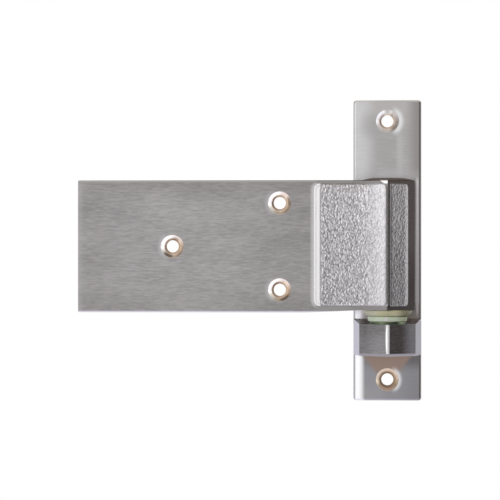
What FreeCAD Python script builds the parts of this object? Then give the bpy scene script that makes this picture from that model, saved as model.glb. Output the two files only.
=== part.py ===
import FreeCAD
import Part
import Sketcher
import math
import os
from types import SimpleNamespace
from FreeCAD import Placement, Rotation, Vector

# Cam-rise hinge for a cold room door, in millimetres.
# X runs to the right along the door, Y into the wall, Z up.
# The origin is on the back of the flange, midway between its two screw holes.

driving = {
    # flange plate on the door frame
    "flange_width": 38.0,
    "flange_height": 168.4,
    "flange_thickness": 6.0,
    "flange_corner": 1.8,
    "flange_edge_round": 1.2,
    "flange_screw_margin": 11.7,
    # screw holes in both leaves, for 6 mm countersunk screws
    "screw_hole_dia": 6.8,
    "sink_dia": 12.6,
    "sink_angle": 90.0,
    # block on the flange that carries the pin
    "block_height": 19.05,
    "block_face_half": 15.5,
    "block_ridge_round": 2.4,
    "block_lip": 1.5,
    "block_brow": 1.4,
    "block_back_rise": 1.0,
    "seat_dia": 20.4,
    # strap on the door, its knuckle and its raised pads
    "pin_offset": 23.5,
    "strap_length": 170.7,
    "strap_height": 72.8,
    "strap_thickness": 6.4,
    "strap_offset": 28.6,
    "strap_lift": 2.25,
    "strap_edge": 0.4,
    "strap_foot_round": 1.3,
    "foot_taper_reach": 46.0,
    "foot_rise": 1.4,
    "end_hole_reach": 118.5,
    "pair_hole_reach": 59.3,
    "pair_hole_spacing": 47.8,
    "barrel_radius": 15.0,
    "heel_round": 3.0,
    "ridge_rise": 3.5,
    "ridge_run": 13.0,
    "ridge_blend": 40.0,
    "cheek_fall": 11.0,
    "pad_reach": 40.4,
    "pad_ramp": 3.4,
    "pad_rise": 1.2,
    "pad_top_margin": 1.9,
    "pad_bottom_margin": 3.8,
    "pad_corner": 3.3,
    "pad_ridge_corner": 2.2,
    "pad_ramp_brow": 2.4,
    "pad_ridge_gap": 0.6,
    "cheek_pad_start": 1.2,
    "cheek_pad_end": 11.0,
    "cheek_pad_rise": 0.7,
    "cheek_pad_top_margin": 1.6,
    "cheek_pad_bottom_margin": 3.2,
    "cheek_pad_corner": 2.4,
    # pin, sleeve and cap
    "pin_dia": 10.0,
    "pin_tip_dia": 8.0,
    "pin_stand": 2.0,
    "pin_chamfer": 1.0,
    "sleeve_dia": 14.0,
    "sleeve_length": 28.0,
    "sleeve_chamfer": 0.5,
    "shoulder_gap": 1.0,
    "cap_dia": 28.0,
    "cap_edge": 0.4,
    "cap_crown": 0.9,
    "cap_slope": 4.5,
    "cap_stem": 5.0,
    "cap_inset": 0.6,
    # nylon cams
    "lower_collar_dia": 21.9,
    "lower_collar_height": 3.0,
    "upper_collar_dia": 27.2,
    "upper_collar_height": 3.2,
    "upper_collar_rim": 1.4,
    "upper_collar_toe": 1.5,
    "collar_round": 0.5,
    "spigot_flats": 14.0,
    "spigot_depth": 5.0,
    "neck_dia": 15.0,
    "hub_flats": 19.0,
    "hub_roof": 4.0,
    "ramp_base": 4.0,
    "cam_lead": 24.0,
    "opening_angle": 120.0,
    "drop_angle": 4.0,
    # clearances
    "run_clear": 0.05,
    "slip_clear": 0.1,
    "cam_clear": 0.3,
}

doc = FreeCAD.newDocument("ColdRoomHinge")
sheet = doc.addObject("Spreadsheet::Sheet", "Sheet")
for row, (alias, value) in enumerate(driving.items(), 1):
    sheet.set(f"A{row}", alias)
    sheet.set(f"B{row}", str(value))
    sheet.setAlias(f"B{row}", alias)
doc.recompute()


class Dim:
    # a length with its number and the sheet expression that drives it

    def __init__(self, number, text):
        self.number = number
        self.text = text

    def __add__(self, other):
        other = dim(other)
        return Dim(self.number + other.number, f"({self.text} + {other.text})")

    def __sub__(self, other):
        other = dim(other)
        return Dim(self.number - other.number, f"({self.text} - {other.text})")

    def __mul__(self, other):
        other = dim(other)
        return Dim(self.number * other.number, f"({self.text} * {other.text})")

    def __truediv__(self, other):
        other = dim(other)
        return Dim(self.number / other.number, f"({self.text} / {other.text})")

    def __neg__(self):
        return Dim(-self.number, f"(-{self.text})")


def dim(value):
    if isinstance(value, Dim):
        return value
    return Dim(float(value), f"({float(value)!r})")


size = SimpleNamespace(**{alias: Dim(value, f"Sheet.{alias}") for alias, value in driving.items()})

# Places worked out from the driving sizes
strap_bottom = size.strap_lift - size.strap_height / 2
strap_top = size.strap_lift + size.strap_height / 2
strap_front = size.strap_offset + size.strap_thickness
ridge_front = strap_front + size.ridge_rise
cheek_edge = ridge_front - size.cheek_fall
knuckle_bottom = strap_bottom + size.foot_rise
collar_stack = size.lower_collar_height + size.cam_clear + size.upper_collar_height
block_top = knuckle_bottom - collar_stack
block_bottom = block_top - size.block_height
half_lead = size.cam_lead / 2
hub_top = block_top + size.lower_collar_height + size.ramp_base + half_lead + size.cam_clear + size.hub_roof
full_rise = size.cam_lead * size.opening_angle / 360
pin_shoulder = hub_top + full_rise + size.shoulder_gap
pin_end = pin_shoulder + size.sleeve_length + size.pin_stand
bore_dia = size.sleeve_dia + size.run_clear * 2


def make_body(label):
    body = doc.addObject("PartDesign::Body", label)
    body.Label = label
    return body


def place_on_pin(body, height):
    body.setExpression("Placement.Base.y", (-size.pin_offset).text)
    body.setExpression("Placement.Base.z", height.text)


def make_sketch(body, role, name, lift=0.0):
    plane = next(item for item in body.Origin.OriginFeatures if item.Role == role)
    sketch = body.newObject("Sketcher::SketchObject", name)
    sketch.AttachmentSupport = [(plane, "")]
    sketch.MapMode = "FlatFace"
    sketch.setExpression("AttachmentOffset.Base.z", dim(lift).text)
    return sketch


def pin_down(sketch, geometry, point, x, y):
    for kind, place in (("DistanceX", dim(x)), ("DistanceY", dim(y))):
        index = sketch.addConstraint(Sketcher.Constraint(kind, -1, 1, geometry, point, place.number))
        sketch.setExpression(f"Constraints[{index}]", place.text)


def draw_outline(sketch, corners, bend=None):
    # closed chain of edges through corners that follow the sheet
    # bend, a radius and a centre, makes an arc of the edge that closes the chain
    corners = [(dim(x), dim(y)) for x, y in corners]
    spots = [Vector(x.number, y.number, 0) for x, y in corners]
    first = sketch.GeometryCount
    last = first + len(spots) - 2
    for index, spot in enumerate(spots[:-1]):
        sketch.addGeometry(Part.LineSegment(spot, spots[index + 1]))
        pin_down(sketch, first + index, 1, *corners[index])
        if index:
            sketch.addConstraint(Sketcher.Constraint("Coincident", first + index - 1, 2, first + index, 1))
    pin_down(sketch, last, 2, *corners[-1])
    ends = (1, 2)
    if bend is None:
        closing = sketch.addGeometry(Part.LineSegment(spots[-1], spots[0]))
    else:
        radius, centre_x, centre_y = [dim(item) for item in bend]
        centre = Vector(centre_x.number, centre_y.number, 0)
        middle = centre + ((spots[-1] + spots[0]) / 2 - centre).normalize() * radius.number
        closing = sketch.addGeometry(Part.Arc(spots[-1], middle, spots[0]))
        if (sketch.getPoint(closing, 1) - spots[0]).Length < 1e-6:
            ends = (2, 1)
    sketch.addConstraint(Sketcher.Constraint("Coincident", last, 2, closing, ends[0]))
    sketch.addConstraint(Sketcher.Constraint("Coincident", first, 1, closing, ends[1]))
    if bend is not None:
        index = sketch.addConstraint(Sketcher.Constraint("Radius", closing, radius.number))
        sketch.setExpression(f"Constraints[{index}]", radius.text)


def draw_box(sketch, left, right, low, high):
    draw_outline(sketch, [(left, low), (right, low), (right, high), (left, high)])


def draw_hexagon(sketch, flats, x=0.0, y=0.0):
    # hexagon with two corners in line with the ridge, which leaves the most wall behind the cheek
    x = dim(x)
    y = dim(y)
    apothem = flats / 2
    half_side = apothem / math.sqrt(3)
    draw_outline(sketch, [
        (x, y - half_side * 2),
        (x + apothem, y - half_side),
        (x + apothem, y + half_side),
        (x, y + half_side * 2),
        (x - apothem, y + half_side),
        (x - apothem, y - half_side),
    ])


def draw_circle(sketch, dia, x=0.0, y=0.0):
    x = dim(x)
    y = dim(y)
    ring = Part.Circle(Vector(x.number, y.number, 0), Vector(0, 0, 1), dia.number / 2)
    index = sketch.addGeometry(ring)
    pin_down(sketch, index, 3, x, y)
    width = sketch.addConstraint(Sketcher.Constraint("Diameter", index, dia.number))
    sketch.setExpression(f"Constraints[{width}]", dia.text)


def make_pad(body, sketch, name, length):
    pad = body.newObject("PartDesign::Pad", name)
    pad.Profile = sketch
    pad.setExpression("Length", dim(length).text)
    doc.recompute()
    return pad


def make_pocket(body, sketch, name, length, reverse=False, midway=False):
    before = body.Shape.Volume
    pocket = body.newObject("PartDesign::Pocket", name)
    pocket.Profile = sketch
    pocket.Reversed = reverse
    pocket.Midplane = midway
    pocket.setExpression("Length", dim(length).text)
    doc.recompute()
    if body.Shape.Volume > before - 1.0:
        raise RuntimeError(f"{name} cuts nothing")
    return pocket


def make_turned(body, name, corners):
    # solid of revolution about Z from half a section drawn as radius and height
    sketch = make_sketch(body, "XZ_Plane", f"{name}Section")
    draw_outline(sketch, corners)
    turned = body.newObject("PartDesign::Revolution", name)
    turned.Profile = sketch
    turned.ReferenceAxis = (sketch, ["V_Axis"])
    turned.Angle = 360.0
    doc.recompute()
    return turned


def make_screw_holes(body, name, face, centres):
    sketch = make_sketch(body, "XZ_Plane", f"{name}Centres", face)
    for x, z in centres:
        draw_circle(sketch, size.screw_hole_dia, x, z)
    doc.recompute()
    before = body.Shape.Volume
    hole = body.newObject("PartDesign::Hole", name)
    hole.Profile = sketch
    hole.DepthType = "ThroughAll"
    hole.ThreadType = "None"
    hole.setExpression("Diameter", size.screw_hole_dia.text)
    hole.HoleCutType = "Countersink"
    hole.HoleCutCustomValues = True
    hole.setExpression("HoleCutDiameter", size.sink_dia.text)
    hole.setExpression("HoleCutCountersinkAngle", size.sink_angle.text)
    doc.recompute()
    if body.Shape.Volume > before - 1.0:
        raise RuntimeError(f"{name} cuts nothing")
    return hole


def find_edges(feature, test):
    return [f"Edge{index}" for index, edge in enumerate(feature.Shape.Edges, 1) if test(edge)]


def runs_along(edge, axis):
    box = edge.BoundBox
    spans = {"X": box.XLength, "Y": box.YLength, "Z": box.ZLength}
    return all(span < 0.01 for key, span in spans.items() if key != axis) and spans[axis] > 0.01


def near(number, place):
    return abs(number - dim(place).number) < 0.01


def dress_edges(body, kind, name, radius, test):
    # fillet or chamfer on the edges of the body's last feature that pass the test
    base = body.Tip
    dressed = body.newObject(f"PartDesign::{kind}", name)
    dressed.Base = (base, find_edges(base, test))
    dressed.setExpression("Radius" if kind == "Fillet" else "Size", radius.text)
    doc.recompute()
    if "Invalid" in dressed.State:
        raise RuntimeError(f"{name} failed on {dressed.Base[1]}")
    return dressed


def cut_ramps(body, name, low, high, inner, outer, sweep):
    # two like helical cuts, half a turn apart, whose floor or roof is the cam's ramp
    sketch = make_sketch(body, "XZ_Plane", f"{name}Section")
    draw_box(sketch, inner, outer, low, high)
    before = body.Shape.Volume
    ramp = body.newObject("PartDesign::SubtractiveHelix", name)
    ramp.Profile = sketch
    ramp.ReferenceAxis = (sketch, ["V_Axis"])
    ramp.Mode = "pitch-turns-angle"
    ramp.setExpression("Pitch", size.cam_lead.text)
    ramp.setExpression("Turns", (sweep / 360).text)
    doc.recompute()
    pair = body.newObject("PartDesign::PolarPattern", f"{name}Pair")
    pair.Originals = [ramp]
    pair.Axis = (sketch, ["V_Axis"])
    pair.Angle = 360.0
    pair.Occurrences = 2
    body.Tip = pair
    doc.recompute()
    if body.Shape.Volume > before - 1.0:
        raise RuntimeError(f"{name} cuts nothing")


# Flange: upright plate with rounded front edges and a V-fronted block for the pin
flange = make_body("flange")
half_width = size.flange_width / 2
half_height = size.flange_height / 2
plate_sketch = make_sketch(flange, "XZ_Plane", "FlangeOutline")
draw_box(plate_sketch, -half_width, half_width, -half_height, half_height)
make_pad(flange, plate_sketch, "FlangePlate", size.flange_thickness)
dress_edges(flange, "Fillet", "FlangeCorners", size.flange_corner, lambda edge: runs_along(edge, "Y"))
dress_edges(
    flange, "Fillet", "FlangeFrontEdges", size.flange_edge_round,
    lambda edge: near(edge.BoundBox.YMin, -size.flange_thickness)
    and near(edge.BoundBox.YMax, -size.flange_thickness))

block_sketch = make_sketch(flange, "XY_Plane", "BlockPlan", block_bottom)
draw_outline(block_sketch, [
    (half_width, -size.flange_thickness / 2),
    (-half_width, -size.flange_thickness / 2),
    (-half_width, -size.flange_thickness),
    (-size.block_face_half, -cheek_edge),
    (0.0, -ridge_front),
    (size.block_face_half, -cheek_edge),
    (half_width, -size.flange_thickness),
])
make_pad(flange, block_sketch, "PinBlock", size.block_height + size.block_back_rise)
dress_edges(
    flange, "Fillet", "BlockRidge", size.block_ridge_round,
    lambda edge: runs_along(edge, "Z") and near(edge.BoundBox.YMin, -ridge_front))
dress_edges(
    flange, "Chamfer", "BlockLip", size.block_lip,
    lambda edge: near(edge.BoundBox.ZMin, block_bottom)
    and near(edge.BoundBox.ZMax, block_bottom)
    and edge.BoundBox.YMax < -cheek_edge.number + 0.01)

# The block's top falls from the plate to its front, with a flat round seat for the lower cam
brow = block_top - size.block_brow
crest = block_top + size.block_back_rise
fall_sketch = make_sketch(flange, "YZ_Plane", "BlockFallSection")
draw_outline(fall_sketch, [
    (-size.flange_thickness, crest),
    (-cheek_edge, brow),
    (-ridge_front - size.block_lip, brow),
    (-ridge_front - size.block_lip, crest + size.block_lip),
    (-size.flange_thickness, crest + size.block_lip),
])
make_pocket(flange, fall_sketch, "BlockFall", size.flange_width * 2, midway=True)
seat_sketch = make_sketch(flange, "XY_Plane", "CamSeatPlan", brow - size.block_lip)
draw_circle(seat_sketch, size.seat_dia, 0.0, -size.pin_offset)
make_pad(flange, seat_sketch, "CamSeat", size.block_brow + size.block_lip)
spot_sketch = make_sketch(flange, "XY_Plane", "SpotFacePlan", block_top)
draw_circle(spot_sketch, size.lower_collar_dia + size.cam_clear * 2, 0.0, -size.pin_offset)
make_pocket(flange, spot_sketch, "SpotFace", size.block_lip, reverse=True)

socket_sketch = make_sketch(flange, "XY_Plane", "SpigotSocketPlan", block_top)
draw_hexagon(socket_sketch, size.spigot_flats + size.slip_clear * 2, 0.0, -size.pin_offset)
make_pocket(flange, socket_sketch, "SpigotSocket", size.spigot_depth + size.slip_clear)
hold_sketch = make_sketch(flange, "XY_Plane", "PinHoldPlan", block_top)
draw_circle(hold_sketch, size.pin_dia, 0.0, -size.pin_offset)
make_pocket(flange, hold_sketch, "PinHold", size.block_height)
half_spacing = half_height - size.flange_screw_margin
make_screw_holes(flange, "FrameScrewHoles", size.flange_thickness, [
    (0.0, half_spacing),
    (0.0, -half_spacing),
])

# Strap: flat door plate that runs into a round barrel with a ridged front
strap = make_body("strap")
plan_sketch = make_sketch(strap, "XY_Plane", "StrapPlan", strap_bottom)
draw_outline(plan_sketch, [
    (-size.strap_length, -strap_front),
    (-size.ridge_run, -strap_front),
    (0.0, -ridge_front),
    (size.barrel_radius, -cheek_edge),
    (size.barrel_radius, -size.pin_offset),
    (-size.barrel_radius, -size.pin_offset),
    (-size.barrel_radius, -size.strap_offset),
    (-size.strap_length, -size.strap_offset),
])
make_pad(strap, plan_sketch, "StrapPlate", size.strap_height)
barrel_sketch = make_sketch(strap, "XY_Plane", "BarrelPlan", strap_bottom)
draw_circle(barrel_sketch, size.barrel_radius * 2, 0.0, -size.pin_offset)
make_pad(strap, barrel_sketch, "Barrel", size.strap_height)
air = ridge_front + size.ridge_run
front_sketch = make_sketch(strap, "XY_Plane", "KnuckleFront", strap_bottom)
draw_outline(front_sketch, [
    (-size.ridge_run, -strap_front),
    (0.0, -ridge_front),
    (size.barrel_radius, -cheek_edge),
    (size.barrel_radius, -air),
    (-size.ridge_run, -air),
])
make_pocket(strap, front_sketch, "KnuckleFrontCut", size.strap_height, reverse=True)
dress_edges(
    strap, "Fillet", "RidgeBlend", size.ridge_blend,
    lambda edge: runs_along(edge, "Z")
    and near(edge.BoundBox.XMin, -size.ridge_run)
    and near(edge.BoundBox.YMin, -strap_front))
dress_edges(
    strap, "Fillet", "Heel", size.heel_round,
    lambda edge: runs_along(edge, "Z")
    and near(edge.BoundBox.XMin, -size.barrel_radius)
    and near(edge.BoundBox.YMin, -size.strap_offset))
foot_round_sketch = make_sketch(strap, "YZ_Plane", "StrapFootSection")
foot_inset = strap_front - size.strap_foot_round
draw_outline(foot_round_sketch, [
    (-foot_inset, strap_bottom),
    (-strap_front, strap_bottom),
    (-strap_front, strap_bottom + size.strap_foot_round),
], (size.strap_foot_round, -foot_inset, strap_bottom + size.strap_foot_round))
make_pocket(strap, foot_round_sketch, "StrapFootRound", size.strap_length * 4, midway=True)
foot_sketch = make_sketch(strap, "XZ_Plane", "KnuckleFootSection")
draw_outline(foot_sketch, [
    (-size.barrel_radius, knuckle_bottom),
    (size.barrel_radius * 2, knuckle_bottom),
    (size.barrel_radius * 2, strap_bottom - size.foot_rise),
    (size.barrel_radius - size.foot_taper_reach * 2, strap_bottom - size.foot_rise),
])
make_pocket(strap, foot_sketch, "KnuckleFoot", ridge_front * 4, midway=True)
dress_edges(
    strap, "Chamfer", "StrapRims", size.strap_edge,
    lambda edge: near(edge.BoundBox.ZMin, strap_top))

# Raised pads: blanks with rounded corners, cut back to faces that lie parallel to the knuckle
pad_low = strap_bottom + size.pad_bottom_margin
pad_high = strap_top - size.pad_top_margin
blank_back = size.strap_offset + size.strap_thickness / 2
blank_depth = ridge_front + size.pad_rise * 2 - blank_back
blank_sketch = make_sketch(strap, "XZ_Plane", "FrontPadOutline", blank_back)
draw_box(blank_sketch, -size.pad_reach, -size.pad_ridge_gap, pad_low, pad_high)
make_pad(strap, blank_sketch, "FrontPadBlank", blank_depth)
dress_edges(
    strap, "Fillet", "FrontPadCorners", size.pad_corner,
    lambda edge: runs_along(edge, "Y") and near(edge.BoundBox.XMin, -size.pad_reach))
cheek_blank_back = size.pin_offset
cheek_sketch = make_sketch(strap, "XZ_Plane", "CheekPadOutline", cheek_blank_back)
cheek_pad_low = strap_bottom + size.cheek_pad_bottom_margin
cheek_pad_high = strap_top - size.cheek_pad_top_margin
draw_box(cheek_sketch, size.cheek_pad_start, size.cheek_pad_end, cheek_pad_low, cheek_pad_high)
make_pad(strap, cheek_sketch, "CheekPadBlank", ridge_front - cheek_blank_back)
dress_edges(
    strap, "Fillet", "CheekPadCorners", size.cheek_pad_corner,
    lambda edge: runs_along(edge, "Y") and near(edge.BoundBox.XMin, size.cheek_pad_end))

pad_face = strap_front + size.pad_rise
face_sketch = make_sketch(strap, "XY_Plane", "PadFaces", strap_bottom)
draw_outline(face_sketch, [
    (-size.pad_reach - size.pad_ramp, -pad_face),
    (-size.pad_reach, -strap_front),
    (-size.pad_reach + size.pad_ramp, -pad_face),
    (-size.ridge_run, -pad_face),
    (0.0, -(ridge_front + size.pad_rise)),
    (0.0, -(ridge_front + size.cheek_pad_rise)),
    (size.barrel_radius, -(cheek_edge + size.cheek_pad_rise)),
    (size.barrel_radius, -air),
    (-size.pad_reach - size.pad_ramp, -air),
])
make_pocket(strap, face_sketch, "PadFaceCut", size.strap_height, reverse=True)
dress_edges(
    strap, "Fillet", "PadBlend", size.ridge_blend,
    lambda edge: runs_along(edge, "Z")
    and near(edge.BoundBox.XMin, -size.ridge_run)
    and near(edge.BoundBox.YMin, -pad_face))
dress_edges(
    strap, "Fillet", "PadRampBrow", size.pad_ramp_brow,
    lambda edge: runs_along(edge, "Z")
    and near(edge.BoundBox.XMin, -size.pad_reach + size.pad_ramp)
    and near(edge.BoundBox.YMin, -pad_face))
dress_edges(
    strap, "Fillet", "PadRidgeCorners", size.pad_ridge_corner,
    lambda edge: runs_along(edge, "Y") and near(edge.BoundBox.XMin, -size.pad_ridge_gap))

# Inside of the knuckle: hexagonal socket for the upper cam, bore for the sleeve and the cap's stem
hub_sketch = make_sketch(strap, "XY_Plane", "HubSocketPlan", knuckle_bottom)
draw_hexagon(hub_sketch, size.hub_flats + size.slip_clear * 2, 0.0, -size.pin_offset)
make_pocket(strap, hub_sketch, "HubSocket", hub_top + size.slip_clear - knuckle_bottom, reverse=True)
bore_sketch = make_sketch(strap, "XY_Plane", "SleeveBorePlan", strap_top)
draw_circle(bore_sketch, bore_dia, 0.0, -size.pin_offset)
make_pocket(strap, bore_sketch, "SleeveBore", size.strap_height)
pair_high = size.strap_lift + size.pair_hole_spacing / 2
pair_low = size.strap_lift - size.pair_hole_spacing / 2
make_screw_holes(strap, "DoorScrewHoles", strap_front, [
    (-size.end_hole_reach, size.strap_lift),
    (-size.pair_hole_reach, pair_high),
    (-size.pair_hole_reach, pair_low),
])

# Pin: pressed into the block, with a shoulder that carries the sleeve
hinge_pin = make_body("hinge_pin")
pin_radius = size.pin_dia / 2
tip_radius = size.pin_tip_dia / 2
shoulder_height = pin_shoulder - block_bottom
pin_length = pin_end - block_bottom
make_turned(hinge_pin, "PinTurning", [
    (0.0, 0.0),
    (pin_radius - size.pin_chamfer, 0.0),
    (pin_radius, size.pin_chamfer),
    (pin_radius, shoulder_height),
    (tip_radius, shoulder_height),
    (tip_radius, pin_length - size.pin_chamfer),
    (tip_radius - size.pin_chamfer, pin_length),
    (0.0, pin_length),
])
place_on_pin(hinge_pin, block_bottom)

# Sleeve: stands on the pin's shoulder, turns on its tip and guides the knuckle's bore
pin_sleeve = make_body("pin_sleeve")
sleeve_inner = tip_radius + size.run_clear
sleeve_outer = size.sleeve_dia / 2
make_turned(pin_sleeve, "SleeveTurning", [
    (sleeve_inner, 0.0),
    (sleeve_outer - size.sleeve_chamfer, 0.0),
    (sleeve_outer, size.sleeve_chamfer),
    (sleeve_outer, size.sleeve_length - size.sleeve_chamfer),
    (sleeve_outer - size.sleeve_chamfer, size.sleeve_length),
    (sleeve_inner, size.sleeve_length),
])
place_on_pin(pin_sleeve, pin_shoulder)

# Cap: bevelled disc on the knuckle, cut flat beside the cheek, with a stem that closes the bore
bore_cap = make_body("bore_cap")
stem_radius = bore_dia / 2 - size.run_clear
cap_radius = size.cap_dia / 2
cap_top = size.cap_edge + size.cap_crown
make_turned(bore_cap, "CapTurning", [
    (0.0, -size.cap_stem),
    (stem_radius, -size.cap_stem),
    (stem_radius, 0.0),
    (cap_radius, 0.0),
    (cap_radius, size.cap_edge),
    (cap_radius - size.cap_slope, cap_top),
    (0.0, cap_top),
])
flat_sketch = make_sketch(bore_cap, "XY_Plane", "CapFlatPlan")
flat_start = size.pin_offset + size.cap_inset - ridge_front
draw_outline(flat_sketch, [
    (0.0, flat_start),
    (size.barrel_radius, flat_start + size.cheek_fall),
    (size.barrel_radius, flat_start - size.cheek_fall),
    (0.0, flat_start - size.cheek_fall),
])
make_pocket(bore_cap, flat_sketch, "CapFlat", (size.cap_stem + cap_top) * 2, midway=True)
place_on_pin(bore_cap, strap_top)

# Lower cam: collar on the block, spigot in its socket, neck with two ramps that rise anticlockwise
lower_cam = make_body("lower_cam")
cam_bore = pin_radius + size.slip_clear
neck_radius = size.neck_dia / 2
ramp_low = size.lower_collar_height + size.ramp_base
ramp_high = ramp_low + half_lead
lower_radius = size.lower_collar_dia / 2
make_turned(lower_cam, "LowerCollarNeck", [
    (cam_bore, 0.0),
    (lower_radius - size.collar_round, 0.0),
    (lower_radius, size.collar_round),
    (lower_radius, size.lower_collar_height - size.collar_round),
    (lower_radius - size.collar_round, size.lower_collar_height),
    (neck_radius, size.lower_collar_height),
    (neck_radius, ramp_high),
    (cam_bore, ramp_high),
])
spigot_sketch = make_sketch(lower_cam, "XY_Plane", "SpigotPlan", -size.spigot_depth)
draw_hexagon(spigot_sketch, size.spigot_flats)
draw_circle(spigot_sketch, cam_bore * 2)
make_pad(lower_cam, spigot_sketch, "Spigot", size.spigot_depth)
cut_ramps(
    lower_cam, "LowerRamp", ramp_low, ramp_high + size.ramp_base,
    pin_radius / 2, neck_radius + size.ramp_base, dim(180.0))
place_on_pin(lower_cam, block_top)

# Upper cam: collar under the knuckle and hub in its socket, hollow below to pass over the neck
upper_cam = make_body("upper_cam")
upper_radius = size.upper_collar_dia / 2
toe_radius = upper_radius - size.upper_collar_toe
hub_height = hub_top - knuckle_bottom
shank_clear = pin_radius + size.cam_clear
make_turned(upper_cam, "UpperCollar", [
    (shank_clear, -size.upper_collar_height),
    (toe_radius, -size.upper_collar_height),
    (upper_radius, -size.upper_collar_rim),
    (upper_radius, -size.collar_round),
    (upper_radius - size.collar_round, 0.0),
    (shank_clear, 0.0),
])
upper_hub_sketch = make_sketch(upper_cam, "XY_Plane", "HubPlan")
draw_hexagon(upper_hub_sketch, size.hub_flats)
draw_circle(upper_hub_sketch, shank_clear * 2)
make_pad(upper_cam, upper_hub_sketch, "Hub", hub_height)
roof_low = ramp_low + size.cam_clear - collar_stack
cavity_radius = neck_radius + size.cam_clear
cavity_sketch = make_sketch(upper_cam, "XY_Plane", "NeckCavityPlan", -size.upper_collar_height)
draw_circle(cavity_sketch, cavity_radius * 2)
make_pocket(upper_cam, cavity_sketch, "NeckCavity", roof_low + size.upper_collar_height, reverse=True)
cut_ramps(
    upper_cam, "UpperRamp", roof_low - half_lead - size.ramp_base, roof_low,
    pin_radius / 2, cavity_radius, size.drop_angle + 180)
place_on_pin(upper_cam, knuckle_bottom)

doc.recompute()
for item in doc.Objects:
    if any(state in ("Invalid", "Error") for state in item.State):
        raise RuntimeError(f"{item.Label} failed: {item.State}")

bodies = [flange, strap, hinge_pin, pin_sleeve, bore_cap, lower_cam, upper_cam]
for body in bodies:
    if body.Shape.isNull() or not body.Shape.isValid() or len(body.Shape.Solids) != 1:
        raise RuntimeError(f"{body.Label} is not one valid solid")

os.makedirs("parts", exist_ok=True)
for body in bodies:
    body.Shape.exportStep(f"parts/{body.Label}.step")
    box = body.Shape.BoundBox
    print(f"{body.Label}: {body.Shape.Volume / 1000:.2f} cm3, x {box.XMin:.2f} to {box.XMax:.2f}, "
          f"y {box.YMin:.2f} to {box.YMax:.2f}, z {box.ZMin:.2f} to {box.ZMax:.2f}")
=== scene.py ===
import math
import bpy
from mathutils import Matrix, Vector


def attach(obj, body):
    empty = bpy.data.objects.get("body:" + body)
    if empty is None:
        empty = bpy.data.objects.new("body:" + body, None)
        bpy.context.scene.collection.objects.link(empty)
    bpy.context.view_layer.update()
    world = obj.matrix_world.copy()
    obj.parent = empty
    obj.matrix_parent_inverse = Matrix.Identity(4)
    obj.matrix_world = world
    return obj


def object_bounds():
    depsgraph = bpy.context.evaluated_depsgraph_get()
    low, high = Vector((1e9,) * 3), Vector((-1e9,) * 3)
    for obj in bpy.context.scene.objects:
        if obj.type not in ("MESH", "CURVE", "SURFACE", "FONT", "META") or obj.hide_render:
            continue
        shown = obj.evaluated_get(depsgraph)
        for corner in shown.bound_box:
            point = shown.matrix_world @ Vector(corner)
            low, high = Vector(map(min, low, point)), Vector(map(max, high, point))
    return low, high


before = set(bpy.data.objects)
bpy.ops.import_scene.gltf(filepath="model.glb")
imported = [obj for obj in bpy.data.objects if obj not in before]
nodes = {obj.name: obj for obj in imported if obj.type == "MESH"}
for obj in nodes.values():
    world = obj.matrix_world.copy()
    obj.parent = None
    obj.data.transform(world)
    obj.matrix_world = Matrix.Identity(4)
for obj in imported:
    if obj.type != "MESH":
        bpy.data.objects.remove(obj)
cadLow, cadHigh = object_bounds()
mm = 0.001


def boxOf(node):
    # lowest and highest corner of a node, in millimetres
    corners = [Vector(corner) / mm for corner in nodes[node].bound_box]
    low = Vector([min(corner[axis] for corner in corners) for axis in range(3)])
    high = Vector([max(corner[axis] for corner in corners) for axis in range(3)])
    return low, high


strapLow, strapHigh = boxOf("strap")
flangeLow, flangeHigh = boxOf("flange")
pinLow, pinHigh = boxOf("hinge_pin")      # the pin's end is level with the foot of the flange's block


# shader maths

class Value:
    # a shader socket that adds Math nodes when it meets an operator

    def __init__(self, net, socket):
        self.net = net
        self.socket = socket

    def math(self, operation, *items):
        return self.net.add("ShaderNodeMath", {"operation": operation}, dict(enumerate(items)))

    def __add__(self, other):
        return self.math("ADD", self, other)

    def __radd__(self, other):
        return self.math("ADD", other, self)

    def __sub__(self, other):
        return self.math("SUBTRACT", self, other)

    def __rsub__(self, other):
        return self.math("SUBTRACT", other, self)

    def __mul__(self, other):
        return self.math("MULTIPLY", self, other)

    def __truediv__(self, other):
        return self.math("DIVIDE", self, other)

    def most(self, other):
        return self.math("MAXIMUM", self, other)

    def size(self):
        return self.math("ABSOLUTE", self)

    def root(self):
        return self.math("SQRT", self)


def length(first, second):
    return (first * first + second * second).root()


def grey(level, tint=(1.0, 1.0, 1.0)):
    return (level * tint[0], level * tint[1], level * tint[2], 1.0)


def setStops(ramp, stops):
    # grey levels at places along a colour ramp
    ramp.interpolation = "EASE"
    while len(ramp.elements) < len(stops):
        ramp.elements.new(0.5)
    for mark, (place, level) in zip(ramp.elements, stops):
        mark.position = place
        mark.color = grey(level)


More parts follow.
